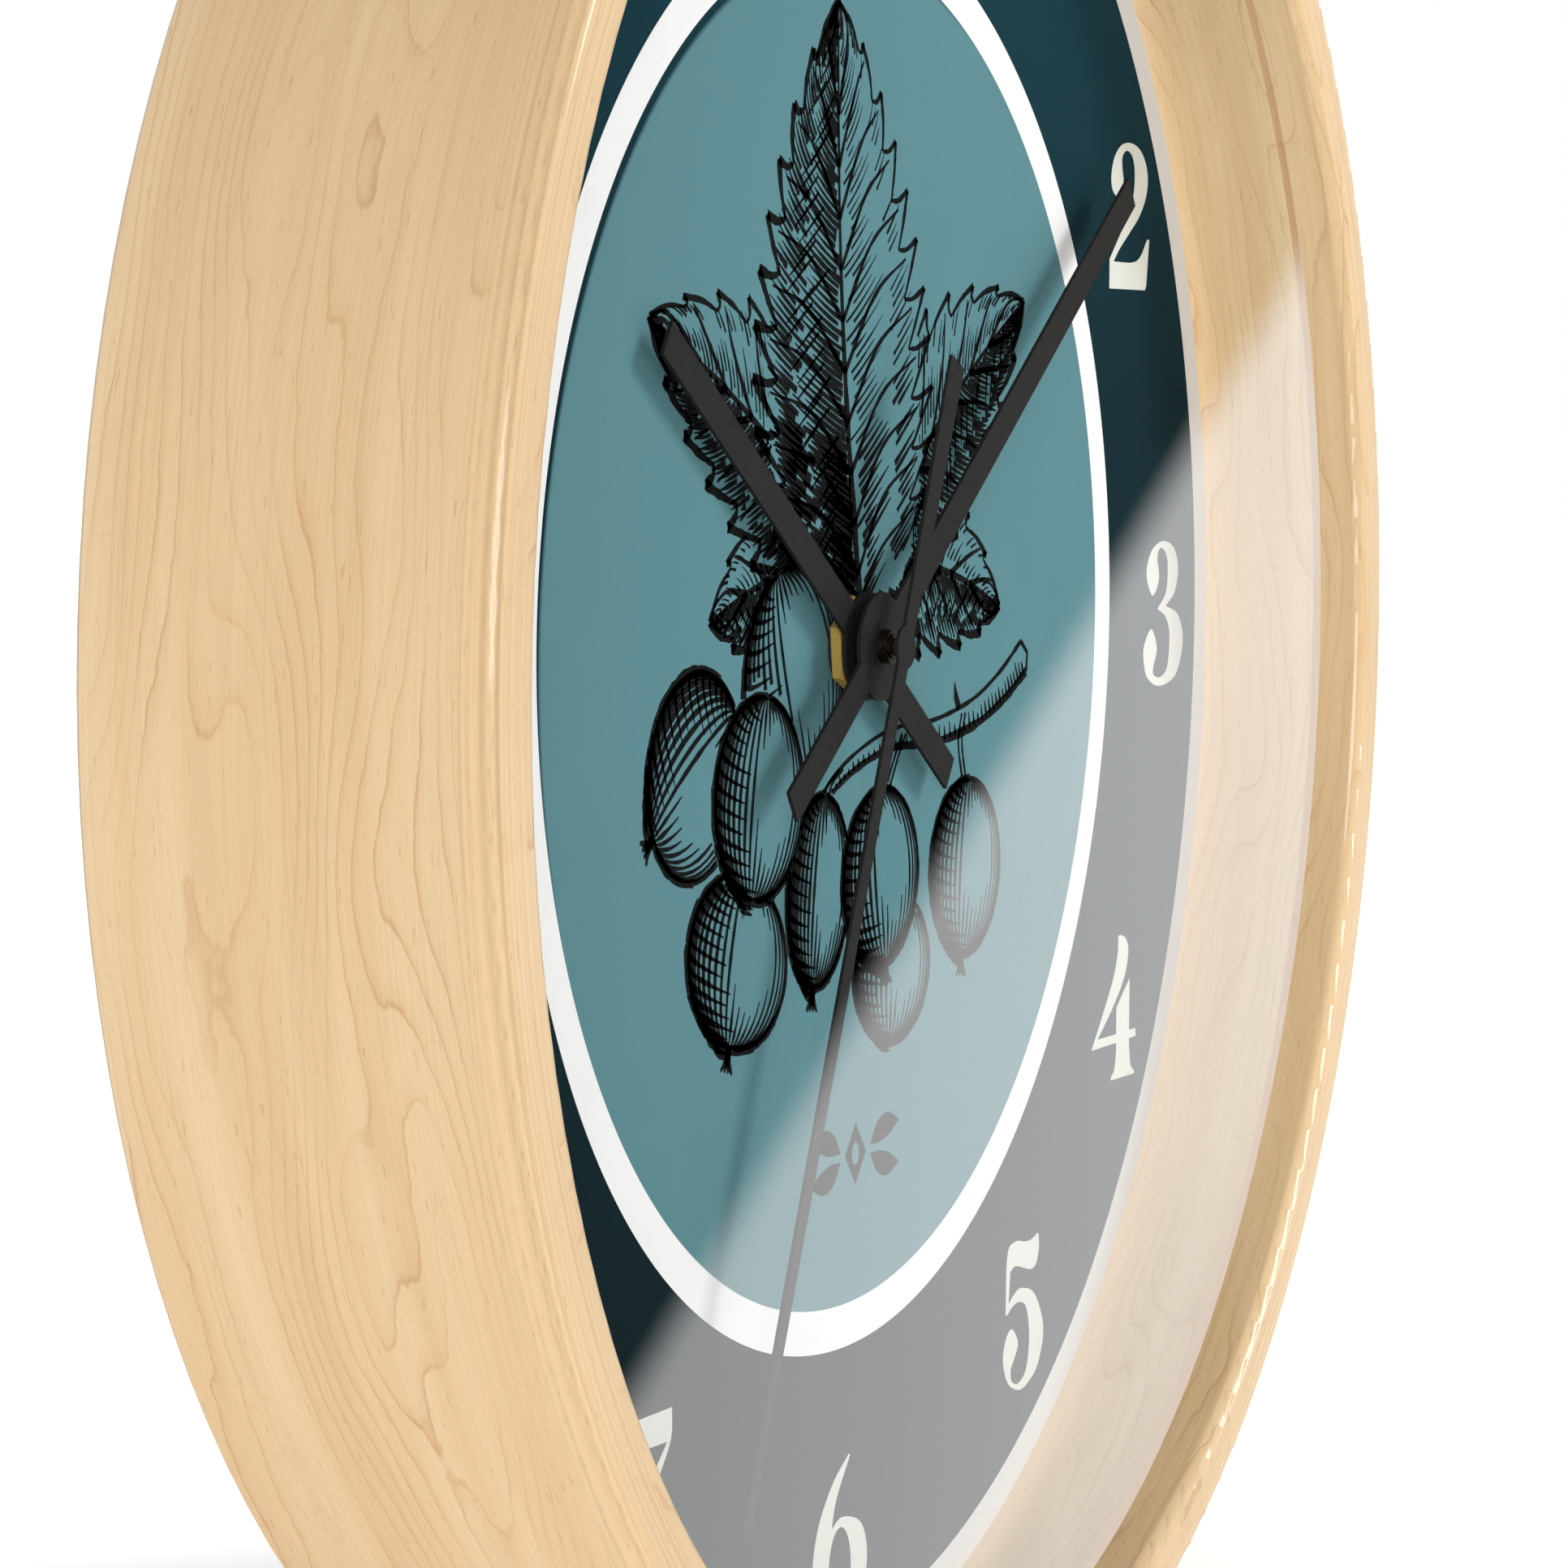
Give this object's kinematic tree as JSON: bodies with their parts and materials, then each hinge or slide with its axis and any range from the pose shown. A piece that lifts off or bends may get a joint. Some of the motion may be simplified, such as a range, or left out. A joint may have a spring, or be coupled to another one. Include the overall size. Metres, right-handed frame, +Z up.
{
  "type": "analogue wall clock",
  "caption": "Round wall clock with a bent-wood ring frame, a clear lens, a printed dial with straight black hands, and a battery quartz movement and keyhole hanger behind.",
  "frame": {"origin": "the clock's centre: on the hands' axis, half way between the wall and the frame's front edge", "axes": "+X right and +Z up as seen from the front, +Y into the wall along the hands' axis"},
  "size_m": [0.254, 0.045, 0.254],
  "materials": {
    "maple": "clear satin lacquer on bent maple",
    "clear_acrylic": "polished clear sheet",
    "printed_sheet": "matte print, teal and white with black line art",
    "hardboard": "smooth brown fibreboard",
    "plated_steel": "zinc plated",
    "bright_steel": "bright drawn",
    "nickel_strip": "nickel plated spring strip",
    "black_plastic": "fine moulded texture",
    "white_plastic": "natural moulded",
    "gear_plastic": "natural acetal",
    "rubber": "matte",
    "black_fibre": "pressed fibre",
    "brass": "turned",
    "soft_iron": "bare stamped lamination",
    "copper_wire": "enamelled winding",
    "magnet": "sintered",
    "circuit_laminate": "green solder mask",
    "black_resin": "cured drop",
    "battery_wrap": "printed steel can without lettering",
    "black_enamel": "matte black on thin aluminium"
  },
  "bodies": {
    "clock_case": {"frame_ring": "maple", "spacer_hoop": "maple", "rear_hoop": "maple", "hanger_block": "maple", "acrylic_lens": "clear_acrylic", "dial_print": "printed_sheet", "dial_board": "hardboard", "keyhole_plate": "plated_steel", "keyhole_screws": "plated_steel", "bridge_screws": "plated_steel", "core_screws": "plated_steel", "movement_front_case": "black_plastic", "movement_back_case": "black_plastic", "rubber_gasket": "rubber", "fibre_washer": "black_fibre", "hex_nut": "brass", "middle_plate": "white_plastic", "train_bridge": "white_plastic", "coil_bobbin": "white_plastic", "stator": "soft_iron", "coil_core": "soft_iron", "coil_winding": "copper_wire", "circuit_board": "circuit_laminate", "controller_chip": "black_resin", "quartz_crystal": "bright_steel", "positive_contact": "nickel_strip", "negative_contact": "nickel_strip"},
    "battery": {"battery_cell": "battery_wrap"},
    "second_group": {"second_arbor": "bright_steel", "seconds_wheel": "gear_plastic", "second_hand": "black_enamel"},
    "intermediate": {"intermediate_wheel": "gear_plastic"},
    "rotor": {"rotor_magnet": "magnet", "rotor_pinion": "gear_plastic"},
    "third": {"third_wheel": "gear_plastic"},
    "centre": {"centre_wheel": "gear_plastic"},
    "minute_group": {"cannon_pinion": "brass", "minute_hand": "black_enamel", "minute_hand_nut": "brass"},
    "minute_works": {"minute_wheel": "gear_plastic"},
    "hour_group": {"hour_wheel": "gear_plastic", "hour_hand": "black_enamel"},
    "knob": {"setting_knob": "black_plastic"}
  },
  "joints": [
    {"name": "second_turn", "type": "hinge", "parent": "clock_case", "child": "second_group", "pos_m": [0, 0, 0], "axis": [0, 1, 0], "continuous": true},
    {"name": "intermediate_turn", "type": "hinge", "parent": "clock_case", "child": "intermediate", "pos_m": [-0.00311, 0, 0.00818], "axis": [0, 1, 0], "continuous": true},
    {"name": "rotor_turn", "type": "hinge", "parent": "clock_case", "child": "rotor", "pos_m": [0, 0, 0.015], "axis": [0, 1, 0], "continuous": true},
    {"name": "third_turn", "type": "hinge", "parent": "clock_case", "child": "third", "pos_m": [0.0108, 0, 0], "axis": [0, 1, 0], "continuous": true},
    {"name": "centre_turn", "type": "hinge", "parent": "clock_case", "child": "centre", "pos_m": [0, 0, 0], "axis": [0, 1, 0], "continuous": true},
    {"name": "minute_turn", "type": "hinge", "parent": "clock_case", "child": "minute_group", "pos_m": [0, 0, 0], "axis": [0, 1, 0], "continuous": true},
    {"name": "minute_works_turn", "type": "hinge", "parent": "clock_case", "child": "minute_works", "pos_m": [-0.009, 0, 0], "axis": [0, 1, 0], "continuous": true},
    {"name": "hour_turn", "type": "hinge", "parent": "clock_case", "child": "hour_group", "pos_m": [0, 0, 0], "axis": [0, 1, 0], "continuous": true},
    {"name": "knob_turn", "type": "hinge", "parent": "clock_case", "child": "knob", "pos_m": [-0.018, 0, 0], "axis": [0, 1, 0], "continuous": true},
    {"name": "battery_slide", "type": "slide", "parent": "clock_case", "child": "battery", "axis": [0, 1, 0], "range_m": [0, 0.022]}
  ],
  "couplings": [
    {"joint": "intermediate_turn", "follows": "second_turn", "ratio": -6},
    {"joint": "rotor_turn", "follows": "second_turn", "ratio": 30},
    {"joint": "third_turn", "follows": "second_turn", "ratio": -0.13333},
    {"joint": "centre_turn", "follows": "second_turn", "ratio": 0.016667},
    {"joint": "minute_works_turn", "follows": "minute_turn", "ratio": -0.33333},
    {"joint": "hour_turn", "follows": "minute_turn", "ratio": 0.083333},
    {"joint": "knob_turn", "follows": "minute_turn", "ratio": 1}
  ]
}
